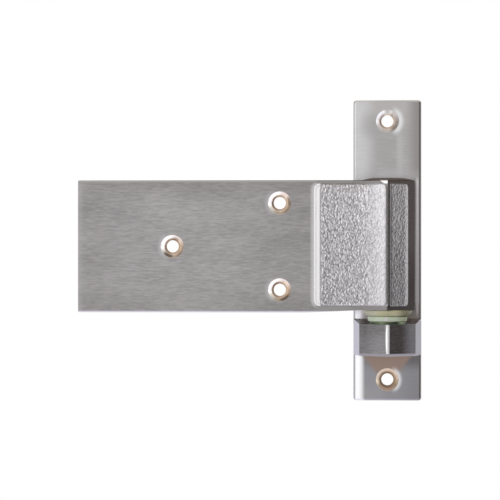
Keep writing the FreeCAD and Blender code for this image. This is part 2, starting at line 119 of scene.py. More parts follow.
class Nodes:
    # one node tree, with a single way to add a node to it

    def __init__(self, tree):
        self.tree = tree
        tree.nodes.clear()

    def add(self, kind, settings=None, sockets=None, out=0):
        # out is the output that is wanted, or several of them
        node = self.tree.nodes.new(kind)
        for key, item in (settings or {}).items():
            if key == "stops":
                setStops(node.color_ramp, item)
            else:
                setattr(node, key, item)
        for key, item in (sockets or {}).items():
            if isinstance(item, Value):
                self.tree.links.new(item.socket, node.inputs[key])
            else:
                node.inputs[key].default_value = item
        if isinstance(out, tuple):
            return [Value(self, node.outputs[key]) for key in out]
        return Value(self, node.outputs[out]) if len(node.outputs) else node

    def place(self):
        # object coordinates in metres, and their three parts in millimetres
        spot = self.add("ShaderNodeTexCoord", out="Object")
        parts = self.add("ShaderNodeSeparateXYZ", None, {0: spot}, (0, 1, 2))
        return spot, [part / mm for part in parts]

    def ramp(self, amount, low, high, share=1.0):
        # smooth step from 0 at low to share at high
        settings = {"interpolation_type": "SMOOTHSTEP", "clamp": True}
        return self.add("ShaderNodeMapRange", settings, {0: amount, 1: low, 2: high, 3: 0.0, 4: share})

    def band(self, amount, low, high, soft, share=1.0):
        # share between low and high, with soft ends outside them
        return self.ramp(amount, low - soft, low, share) * (1.0 - self.ramp(amount, high, high + soft))

    def blend(self, factor, first, second):
        settings = {"data_type": "RGBA", "clamp_factor": True}
        return self.add("ShaderNodeMix", settings, {0: factor, 6: first, 7: second}, 2)

    def noise(self, spot, scale, turn=(0.0, 0.0, 0.0), detail=3.0, rough=0.5):
        # noise whose grain per metre is given for each axis
        mapped = self.add("ShaderNodeMapping", None, {"Vector": spot, "Rotation": turn, "Scale": scale})
        settings = {"noise_dimensions": "3D", "noise_type": "FBM", "normalize": True}
        sockets = {"Vector": mapped, "Scale": 1.0, "Detail": detail, "Roughness": rough}
        return self.add("ShaderNodeTexNoise", settings, sockets)


def newFinish(name):
    finish = bpy.data.materials.new(name)
    finish.use_nodes = True
    return finish, Nodes(finish.node_tree)


def closeFinish(net, colour, rough, bumpHeight, bumpDepth, metal=0.0, glow=None):
    bump = {"Strength": 1.0, "Distance": bumpDepth, "Height": bumpHeight}
    sockets = {"Base Color": colour, "Roughness": rough, "Metallic": metal}
    sockets["Normal"] = net.add("ShaderNodeBump", None, bump)
    if glow is not None:
        sockets["Emission Color"] = net.add("ShaderNodeCombineColor", None, {0: glow, 1: glow, 2: glow})
        sockets["Emission Strength"] = 1.0
    surface = net.add("ShaderNodeBsdfPrincipled", None, sockets)
    net.add("ShaderNodeOutputMaterial", None, {"Surface": surface})


# countersinks, with places in millimetres here and in all that follows
# a span is a start, an end and, where it isn't 1, the share that is reached there

# the cones' colours are painted light and shade: a pale lit side, a tan dim side, a brown ring of
# painted shade at the bore, and painted highlights and a faint painted glow beside the mouth
sinkLook = {
    "mouth": 6.3,                    # radius of a countersink's mouth
    "bore": 3.4,
    "ease": 0.09,                    # slope by which the cones look flatter
    "across": (0.94, -0.34),         # way from a cone's lit side to its dim side, in x and z
    "toMid": (-0.55, 0.35),          # spans of it over which the colours change
    "toDim": (0.45, 0.95),
    "ringGap": 0.4,                  # from the bore to the ring round it
    "darkPatch": (0.26, 0.205, 0.165, 1.0),
    "darkPatchSpan": (0.80, 0.99),
    "darkPatchShare": 0.85,
    "crownSpan": (0.80, 0.98),
    "haloSpan": (0.25, 0.85),
    "haloWide": 2.8,
    "strap": {
        # x and z, and the way that a darker patch lies on the cone
        "holes": [
            (-118.5, 2.25, -0.45, -0.89),
            (-59.3, 26.15, 0.98, 0.17),
            (-59.3, -21.65, 0.50, -0.87),
        ],
        # painted light on the cone's lit, middle and dim sides, a ring of painted shade at the bore, and
        # a painted highlight (halo) beside the mouth
        "lit": (1.0, 0.96, 0.91, 1.0),
        "mid": (0.97, 0.84, 0.72, 1.0),
        "dim": (0.58, 0.46, 0.36, 1.0),
        "ring": (0.66, 0.50, 0.38, 1.0),
        "ringWide": 1.0,
        "gleam": 0.30,               # glow on the lit side, at the top and beside the mouth
        "crown": 0.0,
        "flare": 0.0,
        "halo": grey(0.62),
        "haloSide": -1.0,
        "haloGap": 0.0,
    },
    "flangeTop": {
        "holes": [(0.0, 72.5, 0.0, 0.0)],
        "lit": grey(1.0),
        "mid": (0.95, 0.88, 0.82, 1.0),
        "dim": (0.47, 0.42, 0.385, 1.0),
        "ring": (0.72, 0.59, 0.48, 1.0),
        "ringWide": 1.3,
        "gleam": 0.16,
        "crown": 0.30,
        "flare": 0.10,
        "halo": grey(1.0),
        "haloSide": 1.0,
        "haloGap": 0.8,
    },
    "flangeFoot": {
        "holes": [(0.0, -72.5, 0.0, 0.0)],
        "lit": (0.95, 0.82, 0.66, 1.0),
        "mid": (0.86, 0.72, 0.57, 1.0),
        "dim": (0.70, 0.57, 0.44, 1.0),
        "ring": (0.46, 0.35, 0.25, 1.0),
        "ringWide": 1.6,
        "gleam": 0.0,
        "crown": 0.0,
        "flare": 0.04,
        "halo": grey(1.0),
        "haloSide": 1.0,
        "haloGap": 0.0,
    },
}


def tintSinks(net, colour, x, z, look, group):
    # countersinks painted with light and shade: pale on their lit left side and tan on their dim right
    # side, with a brown ring of painted shade at the bore and a painted highlight (halo) beside the
    # mouth
    # also gives how far inside a countersink a spot is, and how much it glows
    plan = look[group]
    mouth = look["mouth"]
    ringEdge = look["bore"] + look["ringGap"]
    gap = plan["haloGap"]
    acrossX, acrossZ = look["across"]
    sunk = 0.0
    glow = 0.0
    for holeX, holeZ, patchX, patchZ in plan["holes"]:
        awayX = x - holeX
        awayZ = z - holeZ
        away = length(awayX, awayZ)
        side = (awayX * acrossX + awayZ * acrossZ) / away
        cone = net.blend(net.ramp(side, *look["toMid"]), plan["lit"], plan["mid"])
        cone = net.blend(net.ramp(side, *look["toDim"]), cone, plan["dim"])
        cone = net.blend(net.ramp(away, ringEdge + plan["ringWide"], ringEdge), cone, plan["ring"])
        # a darker patch on the cone wall, towards the way given for the hole
        darkPatch = net.ramp((awayX * patchX + awayZ * patchZ) / away, *look["darkPatchSpan"])
        darkPatch = darkPatch * net.band(away, ringEdge + 1.2, mouth - 0.4, 0.7)
        cone = net.blend(darkPatch * look["darkPatchShare"], cone, look["darkPatch"])
        # a painted highlight beside the mouth
        aside = net.ramp(awayX / away * plan["haloSide"], *look["haloSpan"])
        halo = net.ramp(away, mouth + gap * 2.0 + look["haloWide"], mouth + gap)
        halo = halo * aside * net.ramp(away, mouth - 0.1, mouth + gap)
        colour = net.blend(halo, colour, plan["halo"])
        colour = net.blend(1.0 - net.ramp(away, mouth, mouth + 0.2), colour, cone)
        sunk = (mouth - away).most(sunk)
        wall = net.band(away, ringEdge + 0.9, mouth - 0.5, 0.5, plan["gleam"])
        lit = wall * net.ramp(side, 0.1, -0.7) * (1.0 - darkPatch)
        crown = net.ramp(away, mouth + 0.1, mouth - 0.2, plan["crown"])
        crown = crown * net.ramp(awayZ / away, *look["crownSpan"])
        flare = net.band(away, mouth + gap + 0.1, mouth + gap + 0.6, 1.6, plan["flare"]) * aside
        glow = lit.most(crown).most(flare).most(glow)
    return colour, sunk, glow


# the strap's brushed steel

strapLook = {
    "dark": grey(0.385, (1.0, 0.97, 0.96)),
    "light": grey(0.60, (1.0, 0.97, 0.96)),
    "grain": (220.0, 1500.0, 1800.0),         # brush marks along the strap
    "clouds": (24.0, 24.0, 60.0),
    "rough": 0.34,
    "front": -33.5,
    "back": -28.6,
    # painted shade: cooler and darker towards the left end, and darker towards both ends, the foot and
    # the top, where less light falls; a painted highlight along the left end and the top edge
    "coolDark": grey(0.33, (1.0, 0.97, 1.0)),
    "coolLight": grey(0.49, (1.0, 0.97, 1.0)),
    "coolSpan": (-115.0, -160.0, 0.4),
    "fallDark": grey(0.315, (1.0, 0.955, 0.935)),
    "fallLight": grey(0.465, (1.0, 0.955, 0.935)),
    "fallMiddle": -100.0,
    "fallEnds": (15.0, 70.0, 0.45),           # from the middle
    "fallFoot": (-14.0, -32.0, 0.35),
    "fallTop": (12.0, 1.0, 0.8),              # from the top edge
    "rimLeft": (3.8, 0.4, 0.4),               # from the left end
    "rimTop": (1.3, 0.5),
    # the front pad: two painted highlight lines up its ramp, painted shade on the borders above and
    # below it, a painted highlight wedge beside the ridge, and a painted reflection along the strap's
    # foot (lip)
    "padLeft": -40.4,
    "padLow": -30.35,
    "padHigh": 36.75,
    "padCorner": 3.3,
    "rampWide": (5.0, 2.5),
    "line": grey(0.72),
    "firstLine": (0.2, 0.5, 0.4),             # by the way in from the pad's outline
    "secondLine": (1.9, 2.6, 0.5),
    "between": (0.2, 3.0, 0.6, 0.30),
    "beside": (-2.6, -0.6, 0.60),
    "strip": grey(0.44, (1.0, 0.965, 0.955)),
    "stripRight": grey(0.24, (1.0, 0.95, 0.93)),
    "stripSpan": (-24.0, -8.0),
    "wedge": grey(0.95),
    "wedgeLong": 4.2,
    "wedgeLean": 1.5,
    "wedgeFrom": (30.0, 31.0),
    "lip": grey(0.78, (0.99, 0.97, 1.02)),
    "lipSpan": (-6.0, -34.0),
    # the knuckle's right side, painted dark as shade, darker still towards its foot and paler near the
    # ridge
    "cheek": grey(0.132, (1.0, 0.86, 0.80)),
    "cheekFoot": grey(0.090, (1.0, 0.86, 0.80)),
    "cheekNear": grey(0.34, (1.0, 0.96, 0.93)),
    "cheekStart": (-0.65, -0.25),
    "cheekDepth": (-26.6, -27.5),
    "cheekFall": (15.0, -28.0),
    "nearSpan": (1.7, 3.0),
}


def brushStrap(net, look, tone, x, z, front):
    colour = net.blend(tone, look["dark"], look["light"])
    # painted shade: cooler and darker towards the left end, and darker towards both ends, the foot and
    # the top
    cool = net.blend(tone, look["coolDark"], look["coolLight"])
    colour = net.blend(net.ramp(x, *look["coolSpan"]), colour, cool)
    under = strapHigh.z - z
    fall = net.blend(tone, look["fallDark"], look["fallLight"])
    colour = net.blend(net.ramp((x - look["fallMiddle"]).size(), *look["fallEnds"]), colour, fall)
    colour = net.blend(net.ramp(z, *look["fallFoot"]), colour, fall)
    colour = net.blend(net.ramp(under, *look["fallTop"]), colour, fall)
    # a painted highlight along the left end and the top edge
    rim = net.ramp(x - strapLow.x, *look["rimLeft"]).most(net.ramp(under, *look["rimTop"]))
    return net.blend(front * rim, colour, look["light"])


def linePadRamp(net, look, colour, x, z, front):
    # painted highlights: the lines follow the pad's rounded outline, and the plate beside it is painted
    # lit too
    turn = look["padCorner"]
    nearLeft = (look["padLeft"] + turn - x).most(0.0)
    nearEnds = (z - look["padHigh"] + turn).most(look["padLow"] + turn - z).most(0.0)
    inset = turn - length(nearLeft, nearEnds)
    wide, narrow = look["rampWide"]
    atLeft = front * net.ramp(x, look["padLeft"] + wide, look["padLeft"] + narrow)
    beside = net.ramp(inset, *look["beside"]) * net.ramp(inset, 0.8, 0.2)
    between = net.band(inset, *look["between"])
    lines = net.band(inset, *look["firstLine"]).most(net.band(inset, *look["secondLine"]))
    colour = net.blend(atLeft * beside, colour, look["wedge"])
    colour = net.blend(atLeft * between, colour, look["wedge"])
    return net.blend(atLeft * lines, colour, look["line"])


def edgePad(net, look, colour, tone, x, y, z, front):
    # painted shade on the borders above and below the pad, darker towards the ridge, with a painted
    # highlight wedge beside the ridge
    outside = 1.0 - net.band(z, look["padLow"], look["padHigh"], 0.2)
    strip = net.blend(net.ramp(x, *look["stripSpan"]), look["strip"], look["stripRight"])
    slant = x + look["wedgeLong"] - (strapHigh.z - 0.3 - z) * look["wedgeLean"]
    wedge = net.ramp(slant, 0.0, 0.3) * net.ramp(z, *look["wedgeFrom"]) * net.ramp(x, 0.2, 0.0)
    strip = net.blend(wedge, strip, look["wedge"])
    onPad = net.ramp(x, look["padLeft"] - 2.0, look["padLeft"] + 3.0)
    colour = net.blend(front * outside * onPad, colour, strip)
    # a painted reflection along the strap's foot
    lip = net.ramp(z - strapLow.z, 1.0, 0.4) * net.ramp(x, *look["lipSpan"])
    colour = net.blend(front * lip, colour, look["lip"])
    # the knuckle's right side painted dark as shade
    cheek = net.ramp(x, *look["cheekStart"]) * net.ramp(y, *look["cheekDepth"])
    cheek = cheek * (1.0 - wedge * outside) * (1.08 - tone * 0.16)
    dusk = net.blend(net.ramp(z, *look["cheekFall"]), look["cheek"], look["cheekFoot"])
    dusk = net.blend(net.ramp(x, *look["nearSpan"]).most(outside), look["cheekNear"], dusk)
    return net.blend(cheek, colour, dusk)


def makeStrapSteel(look):
    finish, net = newFinish("strapSteel")
    spot, (x, y, z) = net.place()
    marks = net.noise(spot, look["grain"], detail=4.0, rough=0.65)
    clouds = net.noise(spot, look["clouds"], detail=2.0)
    tone = net.ramp(marks * 0.68 + clouds * 0.32, 0.32, 0.68)
    front = net.ramp(y, look["front"] + 0.5, look["front"])
    colour = brushStrap(net, look, tone, x, z, front)
    colour = linePadRamp(net, look, colour, x, z, front)
    bare = edgePad(net, look, colour, tone, x, y, z, front)
    colour, sunk, glow = tintSinks(net, bare, x, z, sinkLook, "strap")
    ahead = net.ramp(y, look["back"] - 0.3, look["back"] - 1.2)
    colour = net.blend(ahead, bare, colour)
    rough = look["rough"] + (marks - 0.5) * 0.10 - net.ramp(sunk, 0.0, 0.1, 0.14)
    height = marks * 0.008 + sunk * sinkLook["ease"]
    closeFinish(net, colour, rough, height, mm, 1.0, glow * ahead)
    return finish


# the flange's steel: an upper plate, a foot, and the block between them

flangeLook = {
    "dark": grey(0.575, (1.0, 0.98, 0.965)),
    "light": grey(0.74, (1.0, 0.98, 0.965)),
    "grain": (150.0, 300.0, 1500.0),
    "clouds": (40.0, 40.0, 24.0),
    "rough": 0.30,
    "plateFront": -6.0,
    "softFall": (-6.0, 0.0022),                    # where the left side turns away, and how fast
    "hardFall": (-13.0, 0.045),
    # upper plate, painted light and shade: warmer and lighter at the top, a painted sheen on the left,
    # painted shade on the right and beside the hole, and a painted highlight streak below the hole
    "crest": grey(0.72, (1.0, 0.96, 0.94)),
    "crestSpan": (66.0, 82.0),
    "sheen": grey(0.85),
    "sheenTop": grey(0.88),
    "sheenRise": (66.0, 80.0),
    "sheenSpan": (-5.0, -14.0),
    "shadedGrey": grey(0.46, (1.0, 0.955, 0.925)),
    "shadedSpan": (9.0, 17.0),
    "shadedFrom": (38.0, 42.0),
    "shadeSpot": (-10.0, 70.0),
    "shadeSpotWide": 6.0,
    "shadeSpotTall": 9.0,
    "shadeSpotSpan": (1.2, 0.2, 0.42),
    "streak": grey(0.76, (1.0, 0.985, 0.97)),
    "streakAcross": (6.6, 7.4, 2.4, 0.7),          # low, high, soft ends, share
    "streakAlong": (44.0, 62.0, 8.0),
    "overSpan": (48.0, 41.0, 0.44),                # painted highlight again above the knuckle
    "overLeft": (-9.0, -3.0),
    "overRight": (3.0, 10.0, 0.4545),
    # painted lines along the plate's edges: grey on the left, shade on the right, and a painted glow
    # along the top
    "leftLine": grey(0.60),
    "edge": grey(0.27, (1.0, 0.94, 0.91)),
    "topGlow": (grey(0.28), grey(0.14)),
    # foot, by the drop below the block: painted darker and cooler than the upper plate, with painted
    # shade just under the block and towards the right, painted light lower down, and a painted
    # reflection down the left edge
    "low": grey(0.41, (0.99, 0.975, 1.03)),
    "lowRight": grey(0.36, (0.99, 0.975, 1.02)),
    "lowSpan": (3.0, 17.0),
    "lowShade": (11.0, 2.5),
    "lowShadeLeast": 0.32,
    "lowShadeRight": (2.0, 12.0, 0.2),
    "lowLight": (13.0, 22.0, 0.14),
    "lowLightLeft": (2.0, -6.0),
    "lowEdge": grey(0.86),
    "lowEdgeSpan": (-12.1, -14.5),
    "shade": (0.44, 0.33, 0.275, 1.0),             # painted warm shade under the block, which narrows down the plate
    "shadeHalf": 14.8,
    "shadeLean": 0.80,
    "shadeDrop": 13.0,
    # plate beside the collars and beside the knuckle: a painted highlight beside the collars on the
    # left, painted shade behind them and on the right, a painted shadow where the block meets the plate,
    # and a painted highlight line down the strip beside the knuckle with painted shadow on its inner
    # half
    "gap": grey(0.86, (0.99, 0.985, 1.02)),
    "gapRight": grey(0.30, (1.0, 0.87, 0.80)),
    "gapFoot": (-40.5, -40.0),
    "gapTop": (-27.0, -34.0),
    "gapSpan": (-11.5, -16.0),
    "gapShaded": (-5.0, -8.0),
    "gapRightSpan": (10.0, 12.0),
    "contactShadowSpan": (-40.0, -39.1, 0.4),
    "contactShadowLeft": (-4.0, -8.0),
    "trimTop": grey(0.98, (1.0, 0.94, 0.96)),
    "trimFoot": grey(0.58, (1.0, 0.92, 0.95)),
    "trimSpan": (40.0, -33.0),
    "trimAlong": (-33.0, 37.0, 5.0),
    "trimAcross": (16.5, 17.1, 0.5),
    "trimShade": (16.8, 15.2, 0.85),
    "trimStart": (12.0, 14.0),
    # block, by the rise above its foot: painted shade on its top and right face, painted reflections on
    # its walls, painted highlights on its ridge and lip, and the collar's green painted on the boss as
    # its reflection in shade
    "blockTop": 19.05,
    "blockFront": -26.5,
    "blockHalf": 15.3,
    "blockLip": 1.5,
    "wallRise": (0.0, 19.0, 0.3),
    "faceTop": (17.4, 17.7),
    "slope": grey(0.285, (1.0, 0.91, 0.88)),
    "slopeRight": grey(0.68, (1.0, 0.95, 0.95)),
    "slopeSpan": (8.0, 14.0),
    "slopeRise": (16.6, 17.2),
    "boss": (0.13, 0.17, 0.10, 1.0),
    "bossRadius": 10.6,
    "strokes": (260.0, 260.0, 1300.0),
    "strokeSpan": (0.35, 0.75, 0.14),
    "strokeFade": (0.0, 2.0, 0.45),
    "leftOuter": grey(0.197, (1.0, 0.97, 0.98)),
    "leftInner": grey(0.278, (1.0, 0.98, 0.98)),
    "leftSpan": (-14.0, -4.0),
    "leftShade": (7.0, 19.0, 0.55),
    "ridge": grey(0.98),
    "ridgeMiddle": 9.5,
    "ridgeHalf": 9.0,
    "ridgeBulge": 0.6,
    "ridgeGlow": (1.7, 17.3, 0.2, 0.12),           # low, high, soft ends, share
    "rightInner": grey(0.095, (1.0, 0.88, 0.84)),
    "rightOuter": grey(0.29, (1.0, 0.98, 0.99)),
    "rightSpan": (7.0, 14.0),
    "lip": grey(0.34, (1.0, 0.96, 0.97)),
    "leftWall": grey(0.50, (0.99, 0.97, 1.10)),
    "rightWall": grey(0.195, (0.99, 0.97, 1.06)),
}


def paintUpperPlate(net, look, colour, tone, x, z):
    # painted light and shade: warmer at the top, a painted sheen on the left, painted shade on the right
    # and left of the hole, and painted highlights below the hole and above the knuckle
    colour = net.blend(net.ramp(z, *look["crestSpan"]), colour, look["crest"])
    sheen = net.blend(net.ramp(z, *look["sheenRise"]), look["sheen"], look["sheenTop"])
    sheen = net.blend(tone * 0.3, sheen, look["dark"])
    colour = net.blend(net.ramp(x, *look["sheenSpan"]), colour, sheen)
    atRight = net.ramp(x, *look["shadedSpan"]) * net.ramp(z, *look["shadedFrom"])
    colour = net.blend(atRight, colour, look["shadedGrey"])
    streak = net.band(x, *look["streakAcross"]) * net.band(z, *look["streakAlong"])
    colour = net.blend(streak, colour, look["streak"])
    shadeSpotX, shadeSpotZ = look["shadeSpot"]
    shadeSpotAway = length((x - shadeSpotX) / look["shadeSpotWide"], (z - shadeSpotZ) / look["shadeSpotTall"])
    colour = net.blend(net.ramp(shadeSpotAway, *look["shadeSpotSpan"]), colour, look["shadedGrey"])
    over = net.ramp(z, *look["overSpan"]) * net.ramp(x, *look["overLeft"])
    over = over * (1.0 - net.ramp(x, *look["overRight"]))
    return net.blend(over, colour, look["ridge"])


def paintFoot(net, look, colour, tone, x, drop, below):
    # painted shade: the foot darker and cooler, darkest just under the block and towards the right,
    # painted light lower down on the left, and a painted reflection along the left edge
    low = net.blend(net.ramp(x, *look["lowSpan"]), look["low"], look["lowRight"])
    low = net.blend(tone * 0.12, low, look["light"])
    shade = look["lowShadeLeast"] + net.ramp(x, *look["lowShadeRight"])
    low = net.blend(net.ramp(drop, *look["lowShade"]) * shade, low, look["rightInner"])
    lit = net.ramp(drop, *look["lowLight"]) * net.ramp(x, *look["lowLightLeft"])
    low = net.blend(lit, low, look["light"])
    low = net.blend(net.ramp(x, *look["lowEdgeSpan"]), low, look["lowEdge"])
    return net.blend(below, colour, low)


def paintGap(net, look, colour, x, z, gap, behind):
    # beside the collars: a painted highlight at the far left, painted shade behind them towards the left
    # and on the right, and a painted shadow line where the block meets the plate
    colour = net.blend(behind * net.ramp(x, *look["gapShaded"]), colour, look["shadedGrey"])
    colour = net.blend(gap, colour, look["gap"])
    colour = net.blend(behind * net.ramp(x, *look["gapRightSpan"]), colour, look["gapRight"])
    contactShadow = net.band(z, *look["contactShadowSpan"]) * net.ramp(x, *look["contactShadowLeft"])
    return net.blend(contactShadow, colour, look["slope"])


def paintEdges(net, look, colour, x, z):
    # a painted highlight line down the strip beside the knuckle, with painted shadow on the strip's
    # inner half
    along = net.band(z, *look["trimAlong"])
    trim = net.blend(net.ramp(z, *look["trimSpan"]), look["trimTop"], look["trimFoot"])
    shade = along * net.ramp(x, *look["trimShade"]) * net.ramp(x, *look["trimStart"])
    colour = net.blend(shade, colour, look["edge"])
    colour = net.blend(along * net.band(x, *look["trimAcross"]), colour, trim)
    # and painted light and shade along the plate's edges: shade down the right, a grey line down the
    # left, a highlight along the top
    colour = net.blend(net.ramp(flangeHigh.x - x, 1.8, 1.0), colour, look["edge"])
    colour = net.blend(net.ramp(x - flangeLow.x, 1.3, 0.7), colour, look["leftLine"])
    return net.blend(net.ramp(flangeHigh.z - z, 1.3, 0.8), colour, look["ridge"])


def paintBlock(net, look, colour, spot, x, y, rise, plate):
    # painted shade on the top, and painted reflections on the walls, pale on the left and dark on the
    # right
    slope = net.blend(net.ramp(x, *look["slopeSpan"]), look["slope"], look["slopeRight"])
    colour = net.blend((1.0 - plate) * net.ramp(rise, *look["slopeRise"]), colour, slope)
    wall = net.blend(net.ramp(x, -1.0, 1.0), look["leftWall"], look["rightWall"])
    onWall = net.ramp(x.size(), look["blockHalf"], look["blockHalf"] + 0.3)
    onWall = (1.0 - plate) * onWall * net.band(rise, *look["wallRise"])
    colour = net.blend(onWall, colour, wall)
    # two faces, painted lighter on the left and in shade on the right, with painted shade high on the
    # left face, meet at a painted highlight on the ridge, which bulges to the left at its middle and has
    # a faint painted glow
    left = net.blend(net.ramp(x, *look["leftSpan"]), look["leftOuter"], look["leftInner"])
    right = net.blend(net.ramp(x, *look["rightSpan"]), look["rightInner"], look["rightOuter"])
    middle = (rise - look["ridgeMiddle"]) / look["ridgeHalf"]
    bulge = (1.0 - middle * middle) * look["ridgeBulge"]
    ridge = net.ramp(x + bulge, -0.6, -0.1) * net.ramp(x, 1.4, 0.9)
    face = net.blend(net.ramp(x, -0.5, 0.5), left, right)
    face = net.blend(ridge, face, look["ridge"])
    leftShade = net.ramp(rise, *look["leftShade"]) * net.ramp(x, -1.0, -2.0)
    face = net.blend(leftShade, face, look["rightInner"])
    strokes = net.noise(spot, look["strokes"], detail=3.0, rough=0.6)
    faint = (1.0 - ridge) * (1.0 - net.ramp(x, *look["strokeFade"]))
    face = net.blend(net.ramp(strokes, *look["strokeSpan"]) * faint, face, look["light"])
    ahead = net.ramp(y, look["blockFront"] + 0.5, look["blockFront"] - 0.5)
    glow = ridge * ahead * net.band(rise, *look["ridgeGlow"])
    colour = net.blend(ahead * (1.0 - net.ramp(rise, *look["faceTop"])), colour, face)
    # a painted highlight along the block's lip
    lip = net.ramp(rise, look["blockLip"] + 0.2, look["blockLip"] - 0.1)
    colour = net.blend(ahead * lip, colour, look["lip"])
    # the collar's green painted on the boss at the block's top, as its reflection in shade
    fromPin = length(x, y - (pinLow.y + pinHigh.y) / 2)
    boss = net.ramp(fromPin, look["bossRadius"], look["bossRadius"] - 0.2)
    boss = boss * net.ramp(look["blockTop"] - rise, 1.9, 1.5)
    return net.blend(boss, colour, look["boss"]), glow


def makeFlangeSteel(look):
    finish, net = newFinish("flangeSteel")
    spot, (x, y, z) = net.place()
    marks = net.noise(spot, look["grain"], detail=3.0, rough=0.6)
    clouds = net.noise(spot, look["clouds"], detail=2.0)
    tone = net.ramp(marks * 0.5 + clouds * 0.5, 0.3, 0.7)
    rise = z - pinLow.z
    drop = pinLow.z - z
    below = net.ramp(drop, -0.2, 0.2)
    plate = net.ramp(y, look["plateFront"] - 2.0, look["plateFront"] - 1.0)
    behind = net.ramp(z, *look["gapFoot"]) * net.ramp(z, *look["gapTop"])
    gap = behind * net.ramp(x, *look["gapSpan"])
    plain = net.blend(tone, look["dark"], look["light"])
    colour = paintUpperPlate(net, look, plain, tone, x, z)
    colour = paintFoot(net, look, colour, tone, x, drop, below)
    colour = paintGap(net, look, colour, x, z, gap, behind)
    colour = paintEdges(net, look, colour, x, z)
    colour, ridgeGlow = paintBlock(net, look, colour, spot, x, y, rise, plate)
    # painted warm shade below the block, narrowing down the plate
    across = 1.0 - net.ramp(x.size() + drop * look["shadeLean"] - look["shadeHalf"], -2.4, 1.4)
    down = 1.0 - net.ramp(drop, look["shadeDrop"] - 4.0, look["shadeDrop"])
    colour = net.blend(below * across * down, colour, look["shade"])
    # the painted light and shade of the front stay off the plate's sides and back
    forward = net.ramp(y, look["plateFront"] + 1.8, look["plateFront"] + 1.1)
    bare = net.blend(forward, plain, colour)
    colour, sunkTop, glow = tintSinks(net, bare, x, z, sinkLook, "flangeTop")
    colour, sunkFoot, footGlow = tintSinks(net, colour, x, z, sinkLook, "flangeFoot")
    inFront = net.ramp(y, -0.3, -1.2)
    colour = net.blend(inFront, bare, colour)
    rough = look["rough"] + (marks - 0.5) * 0.06
    # the plate's left side turns away softly above the block and more sharply below it
    softStart, softBend = look["softFall"]
    hardStart, hardBend = look["hardFall"]
    softFall = (softStart - x).most(0.0)
    hardFall = (hardStart - x).most(0.0)
    fall = softFall * softFall * softBend * (1.0 - below)
    fall = fall + hardFall * hardFall * hardBend * below.most(gap * 0.6)
    height = marks * 0.004 - fall * plate * forward + sunkTop.most(sunkFoot) * sinkLook["ease"]
    # a painted glow along the top edge, stronger on the left
    topGlow = net.ramp(flangeHigh.z - z, 1.0, 0.5) * net.blend(net.ramp(x, -16.0, 0.0), *look["topGlow"])
    glow = glow.most(footGlow).most(ridgeGlow).most(topGlow) * inFront
    closeFinish(net, colour, rough, height, mm, 1.0, glow)
    return finish


# pin, nylon and cap

pinSteel = {
    "name": "pinSteel",
    "dark": grey(0.506),
    "light": grey(0.55),
    "grain": (300.0, 300.0, 4000.0),
    "rough": 0.28,
    "bump": 0.005,
}
nylonLook = {
    "clouds": (160.0, 160.0, 160.0),
    "bump": 0.02,
    "dawnSpan": (-4.0, -9.0),                 # dawn is a painted lighter colour towards the lit left
    "duskSpan": (3.5, 10.5),                  # dusk is a painted darker colour towards the shaded right
    "gleamSpan": (-1.2, -0.4, 0.9),           # gleam is a painted highlight streak beside the middle
}
oliveNylon = {
    "name": "oliveNylon",
    "colour": (0.81, 0.79, 0.53, 1.0),
    "shade": (0.73, 0.71, 0.45, 1.0),
    "dawn": (0.78, 0.79, 0.63, 1.0),
    "dusk": (0.26, 0.255, 0.14, 1.0),
    "rough": 0.38,
}
mintNylon = {
    "name": "mintNylon",
    "colour": (0.85, 0.96, 0.79, 1.0),
    "shade": (0.78, 0.90, 0.72, 1.0),
    "dusk": (0.40, 0.445, 0.27, 1.0),
    "gleam": (1.0, 1.0, 0.98, 1.0),
    "rough": 0.38,
}
whiteNylon = {
    "name": "whiteNylon",
    "colour": (0.80, 0.79, 0.74, 1.0),
    "shade": (0.74, 0.73, 0.68, 1.0),
    "rough": 0.38,
}
capPlastic = {
    "name": "capPlastic",
    "colour": (0.190, 0.151, 0.135, 1.0),
    "shade": (0.165, 0.131, 0.118, 1.0),
    "rough": 0.5,
}


def makePlainSteel(plan):
    finish, net = newFinish(plan["name"])
    spot = net.add("ShaderNodeTexCoord", out="Object")
    marks = net.noise(spot, plan["grain"])
    colour = net.blend(net.ramp(marks, 0.3, 0.7), plan["dark"], plan["light"])
    closeFinish(net, colour, plan["rough"], marks, plan["bump"] * mm, 1.0)
    return finish


def makeNylon(plan, look):
    finish, net = newFinish(plan["name"])
    spot, (x, y, z) = net.place()
    clouds = net.noise(spot, look["clouds"])
    colour = net.blend(net.ramp(clouds, 0.3, 0.7), plan["shade"], plan["colour"])
    # painted light and shade: lighter to the left, darker to the right, and a painted highlight streak
    if "dawn" in plan:
        colour = net.blend(net.ramp(x, *look["dawnSpan"]), colour, plan["dawn"])
    if "dusk" in plan:
        colour = net.blend(net.ramp(x, *look["duskSpan"]), colour, plan["dusk"])
    if "gleam" in plan:
        colour = net.blend(net.band(x, *look["gleamSpan"]), colour, plan["gleam"])
    closeFinish(net, colour, plan["rough"], clouds, look["bump"] * mm)
    return finish


def dress(node, finish):
    nodes[node].data.materials.clear()
    nodes[node].data.materials.append(finish)


dress("strap", makeStrapSteel(strapLook))
dress("flange", makeFlangeSteel(flangeLook))
dress("hinge_pin", makePlainSteel(pinSteel))
dress("upper_cam", makeNylon(oliveNylon, nylonLook))
dress("lower_cam", makeNylon(mintNylon, nylonLook))
dress("pin_sleeve", makeNylon(whiteNylon, nylonLook))
dress("bore_cap", makeNylon(capPlastic, nylonLook))
print("finishes done")


# pebbled faces of the knuckle's two pads

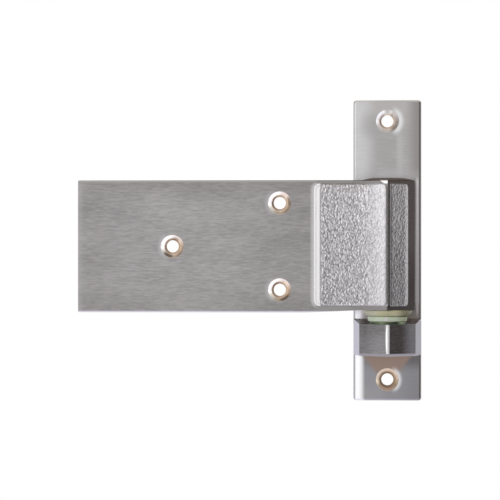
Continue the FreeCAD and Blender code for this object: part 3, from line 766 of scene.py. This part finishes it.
pebbleLook = {
    "start": -60.0,                       # place in front of the strap from which a pad is laid on it
    "gap": 0.03,
    "thick": 0.4,
    "slant": 32.0,                        # degrees by which the grain leans
    "stretch": (0.9, 1.0, 1.5),
    "waves": (900.0, 900.0, 430.0),
    "specks": (1500.0, 1500.0, 1500.0),
    "wormWide": 0.15,
    "bump": 0.05,
    # where the grain dies out: towards the ridge and up the cheek
    "calmFront": (-18.0, -5.0),
    "calmCheek": (-5.0, 20.0, 0.6),
    # painted light and shade across the front pad, from its ramp to the ridge, and on the cheek, with a
    # painted highlight at the cheek's rim and painted shade down the pads
    "rampDark": (-35.7, -36.4, 0.4),
    "middleLight": (-26.0, -17.0, 5.0, 0.08),
    "rightDark": (-11.0, -7.0, 4.0, 0.19),
    "ridgeDark": (-1.5, -0.4, 0.8, 0.22),
    "cheekDark": (0.0, 1.6, 1.4, 0.6),
    "cheekRim": (8.8, 10.3, 0.9),
    "fallSpan": (-32.0, 38.0),
    "fallMiddle": 0.55,
}
frontPebbles = {
    "name": "frontPebbles",
    "x": (-36.6, -0.8),
    "z": (-30.2, 36.6),
    "corner": 1.8,                        # round of the two corners on the right
    "fade": (0.9, 9.0, 0.9),              # rims over which the grain dies out: left, right, both ends
    "lift": 0.05,
    "height": 0.40,
    "pitch": 0.30,                        # spacing of the grid's points
    "cell": 1.1,
    "finish": "frontPebbleSteel",
    "dark": grey(0.36, (1.0, 0.98, 0.99)),
    "light": grey(0.89, (1.0, 0.98, 1.0)),
    "rough": 0.38,
    "fall": 0.15,                         # how much painted shade darkens the pad from its top to its foot
}
cheekPebbles = {
    "name": "cheekPebbles",
    "x": (1.5, 11.4),
    "z": (-30.8, 36.9),
    "corner": 2.2,
    "fade": (0.7, 2.2, 0.7),
    "lift": 0.25,
    "height": 0.35,
    "pitch": 0.25,
    "cell": 1.0,
    "finish": "cheekPebbleSteel",
    # darker than the front pad's, as painted shade on the cheek
    "dark": grey(0.265, (1.0, 0.985, 0.97)),
    "light": grey(0.46, (1.0, 0.98, 0.965)),
    "rough": 0.40,
    "fall": 0.75,
}


def makeGrain(cell, look):
    # soft bumps, stretched along a slant
    grain = bpy.data.textures.new("pebbleGrain", "CLOUDS")
    grain.noise_scale = cell
    grain.noise_depth = 1
    bpy.ops.object.empty_add(location=(0.0, 0.0, 0.0), rotation=(0.0, math.radians(look["slant"]), 0.0))
    lie = bpy.context.object
    lie.scale = Vector(look["stretch"]) * mm
    return grain, lie


def cutCorners(pad, edgeX, edgeLow, edgeHigh, radius):
    # takes off the points outside the two rounded corners on the right
    bpy.ops.object.mode_set(mode="EDIT")
    bpy.ops.mesh.select_all(action="DESELECT")
    bpy.ops.object.mode_set(mode="OBJECT")
    for point in pad.data.vertices:
        outX = max(point.co.x / mm - edgeX, 0.0)
        outZ = max(point.co.z / mm - edgeHigh, edgeLow - point.co.z / mm, 0.0)
        point.select = math.hypot(outX, outZ) > radius + 0.01
    bpy.ops.object.mode_set(mode="EDIT")
    bpy.ops.mesh.delete(type="VERT")
    bpy.ops.object.mode_set(mode="OBJECT")


def weighInner(pad, plan):
    # a vertex group that fades to nothing at the pad's rims
    (left, right), (low, high) = plan["x"], plan["z"]
    fadeLeft, fadeRight, fadeEnds = plan["fade"]
    inner = pad.vertex_groups.new(name="inner")
    for point in pad.data.vertices:
        x = point.co.x / mm
        z = point.co.z / mm
        sides = min((x - left) / fadeLeft, (right - x) / fadeRight)
        ends = min((z - low) / fadeEnds, (high - z) / fadeEnds)
        rim = min(max(min(sides, ends), 0.0), 1.0)
        inner.add([point.index], rim * (2.0 - rim), "REPLACE")


def pushOut(pad, name, height):
    push = pad.modifiers.new(name, "DISPLACE")
    push.direction = "NORMAL"
    push.mid_level = 0.0
    push.strength = height * mm
    push.vertex_group = "inner"
    return push


def makePebbles(plan, look):
    bpy.ops.object.select_all(action="DESELECT")
    (left, right), (low, high) = plan["x"], plan["z"]
    wide = right - left
    tall = high - low
    bpy.ops.mesh.primitive_grid_add(
        x_subdivisions=round(wide / plan["pitch"]),
        y_subdivisions=round(tall / plan["pitch"]),
        size=1.0,
        location=((left + right) / 2 * mm, look["start"] * mm, (low + high) / 2 * mm),
        rotation=(math.pi / 2, 0.0, 0.0))
    pad = bpy.context.object
    pad.name = plan["name"]
    pad.scale = (wide * mm, tall * mm, 1.0)
    bpy.ops.object.transform_apply(location=True, rotation=True, scale=True)
    cutCorners(pad, right - plan["corner"], low + plan["corner"], high - plan["corner"], plan["corner"])
    weighInner(pad, plan)
    # laid on the strap from the front, then raised and thickened
    wrap = pad.modifiers.new("wrap", "SHRINKWRAP")
    wrap.target = nodes["strap"]
    wrap.wrap_method = "PROJECT"
    wrap.use_project_y = True
    wrap.use_positive_direction = True
    wrap.use_negative_direction = False
    wrap.offset = look["gap"] * mm
    grain, lie = makeGrain(plan["cell"], look)
    push = pushOut(pad, "push", plan["height"])
    push.texture = grain
    push.texture_coords = "OBJECT"
    push.texture_coords_object = lie
    pushOut(pad, "rise", plan["lift"])
    thick = pad.modifiers.new("thick", "SOLIDIFY")
    thick.thickness = look["thick"] * mm
    thick.offset = -1.0
    bpy.ops.object.select_all(action="DESELECT")
    pad.select_set(True)
    bpy.context.view_layer.objects.active = pad
    for name in ("wrap", "push", "rise", "thick"):
        bpy.ops.object.modifier_apply(modifier=name)
    bpy.ops.object.shade_smooth()
    bpy.data.objects.remove(lie)
    pad.vertex_groups.clear()
    pad.data.materials.append(makePebbleSteel(plan, look))
    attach(pad, "door_leaf")


def makePebbleSteel(plan, look):
    # pale worm-like grain, its dark crevices painted as shade, with painted light and shade across the
    # pad, darker down the pad
    finish, net = newFinish(plan["finish"])
    spot, (x, y, z) = net.place()
    waves = net.noise(spot, look["waves"], (0.0, math.radians(-look["slant"]), 0.0), detail=0.5)
    worms = net.ramp((waves - 0.5).size(), 0.0, look["wormWide"])
    specks = net.noise(spot, look["specks"], detail=1.0)
    calm = net.ramp(x, *look["calmFront"]) * net.ramp(x, 0.5, -0.5)
    calm = calm + net.ramp(x, 0.5, 1.5) * net.ramp(z, *look["calmCheek"])
    tone = (worms * 0.85 + specks * 0.25 - 0.06) * (1.0 - calm * 0.62) + calm * 0.46
    # painted shade and highlights across the pads, and painted shade down them
    for name in ("rightDark", "ridgeDark", "cheekDark"):
        tone = tone - net.band(x, *look[name])
    tone = tone + net.band(x, *look["middleLight"])
    tone = tone + net.ramp(x, *look["cheekRim"]) - net.ramp(x, *look["rampDark"])
    tone = tone + (net.ramp(z, *look["fallSpan"]) - look["fallMiddle"]) * plan["fall"]
    colour = net.blend(tone, plan["dark"], plan["light"])
    closeFinish(net, colour, plan["rough"], worms * (1.0 - calm * 0.7), look["bump"] * mm, 1.0)
    return finish


makePebbles(frontPebbles, pebbleLook)
makePebbles(cheekPebbles, pebbleLook)
print("pads done")


# camera, from the photograph's viewing angle

cameraPlan = {
    "aim": (-75.58 * mm, -35.0 * mm, 0.28 * mm),
    "place": (-5.0 * mm, -1400.0 * mm, 5.0 * mm),
    "fieldAtAim": 275.2 * mm,
    "sensor": 36.0,
    "reach": 20.0,
}


def makeCamera(plan):
    aim = Vector(plan["aim"])
    place = Vector(plan["place"])
    bpy.ops.object.camera_add(location=place)
    camera = bpy.context.object
    camera.rotation_mode = "QUATERNION"
    camera.rotation_quaternion = (aim - place).to_track_quat("-Z", "Y")
    camera.data.sensor_width = plan["sensor"]
    camera.data.lens = plan["sensor"] * (aim - place).length / plan["fieldAtAim"]
    camera.data.clip_end = plan["reach"]
    bpy.context.scene.camera = camera


makeCamera(cameraPlan)


# floor, world and lamp

stagePlan = {
    "floorDrop": 1.6,                     # low enough to leave views from below open
    "floorSide": 51.2,
    "floorFront": -2.88,
    "floorColour": (0.82, 0.81, 0.80, 1.0),
    "floorGlow": (0.95, 0.93, 1.03, 1.0),
}
lampPlan = {
    "name": "keyLamp",
    "place": (-0.75, -1.25, 0.35),
    "aim": (-0.03, -0.03, 0.0),
    "wide": 0.5,
    "tall": 0.7,
    "watts": 0.8,
}
worldPlan = {
    # grey levels by bearing: 0.0 and 1.0 are ahead of the camera, 0.25 is its left, 0.5 behind it
    "bearing": [
        (0.0, 0.85), (0.12, 0.90), (0.20, 0.55), (0.27, 0.50), (0.33, 1.1),
        (0.41, 1.2), (0.45, 0.95), (0.50, 0.62), (0.56, 0.40), (0.62, 0.20),
        (0.702, 0.10), (0.724, 1.6), (0.80, 1.6), (0.86, 1.1), (1.0, 0.80),
    ],
    "peak": 1.6,
    "above": (0.36, 0.33, 0.30, 1.0),
    "aboveSpan": (0.12, 0.55),
    "below": (0.95, 0.93, 1.03, 1.0),
    "belowSpan": (0.25, 0.70),
}


def makeLamp(plan):
    lamp = bpy.data.lights.new(plan["name"], "AREA")
    lamp.shape = "RECTANGLE"
    lamp.size = plan["wide"]
    lamp.size_y = plan["tall"]
    lamp.energy = plan["watts"]
    holder = bpy.data.objects.new(plan["name"], lamp)
    holder.location = plan["place"]
    holder.rotation_mode = "QUATERNION"
    holder.rotation_quaternion = (Vector(plan["aim"]) - Vector(plan["place"])).to_track_quat("-Z", "Y")
    bpy.context.scene.collection.objects.link(holder)


def makeFloor(plan):
    bpy.ops.object.select_all(action="DESELECT")
    spot = (0.0, plan["floorFront"] + plan["floorSide"] / 2, cadLow.z - plan["floorDrop"])
    bpy.ops.mesh.primitive_plane_add(size=plan["floorSide"], location=spot)
    floor = bpy.context.object
    floor.name = "floor"
    finish, net = newFinish("floorWhite")
    rays = ("Is Camera Ray", "Is Glossy Ray", "Is Transmission Ray")
    seen, glossy, through = net.add("ShaderNodeLightPath", out=rays)
    plain = net.add("ShaderNodeBsdfDiffuse", None, {"Color": plan["floorColour"]})
    white = net.add("ShaderNodeEmission", None, {"Color": grey(1.0), "Strength": 1.0})
    glow = net.add("ShaderNodeEmission", None, {"Color": plan["floorGlow"], "Strength": 1.0})
    mixed = net.add("ShaderNodeMixShader", None, {0: glossy, 1: plain, 2: glow})
    mixed = net.add("ShaderNodeMixShader", None, {0: seen.most(through), 1: mixed, 2: white})
    net.add("ShaderNodeOutputMaterial", None, {"Surface": mixed})
    floor.data.materials.append(finish)


def makeWorld(plan):
    # white to the camera, a studio's light and dark walls to the metal
    world = bpy.data.worlds.new("studioWorld")
    bpy.context.scene.world = world
    world.use_nodes = True
    net = Nodes(world.node_tree)
    seen = net.add("ShaderNodeLightPath", out="Is Camera Ray")
    spot = net.add("ShaderNodeTexCoord", out="Generated")
    x, y, z = net.add("ShaderNodeSeparateXYZ", None, {0: spot}, (0, 1, 2))
    bearing = x.math("ARCTAN2", x, 0.0 - y) / math.tau + 0.5
    stops = [(place, level / plan["peak"]) for place, level in plan["bearing"]]
    level = net.add("ShaderNodeValToRGB", {"stops": stops}, {0: bearing}) * plan["peak"]
    colour = net.add("ShaderNodeCombineColor", None, {0: level, 1: level * 0.995, 2: level * 1.01})
    colour = net.blend(net.ramp(z, *plan["aboveSpan"]), colour, plan["above"])
    colour = net.blend(net.ramp(0.0 - z, *plan["belowSpan"]), colour, plan["below"])
    studio = net.add("ShaderNodeBackground", None, {"Color": colour, "Strength": 1.0})
    white = net.add("ShaderNodeBackground", None, {"Color": grey(1.0), "Strength": 1.0})
    mixed = net.add("ShaderNodeMixShader", None, {0: seen, 1: studio, 2: white})
    net.add("ShaderNodeOutputWorld", None, {"Surface": mixed})


makeLamp(lampPlan)
makeFloor(stagePlan)
makeWorld(worldPlan)
bpy.context.scene.view_settings.view_transform = "Standard"
print("stage done")
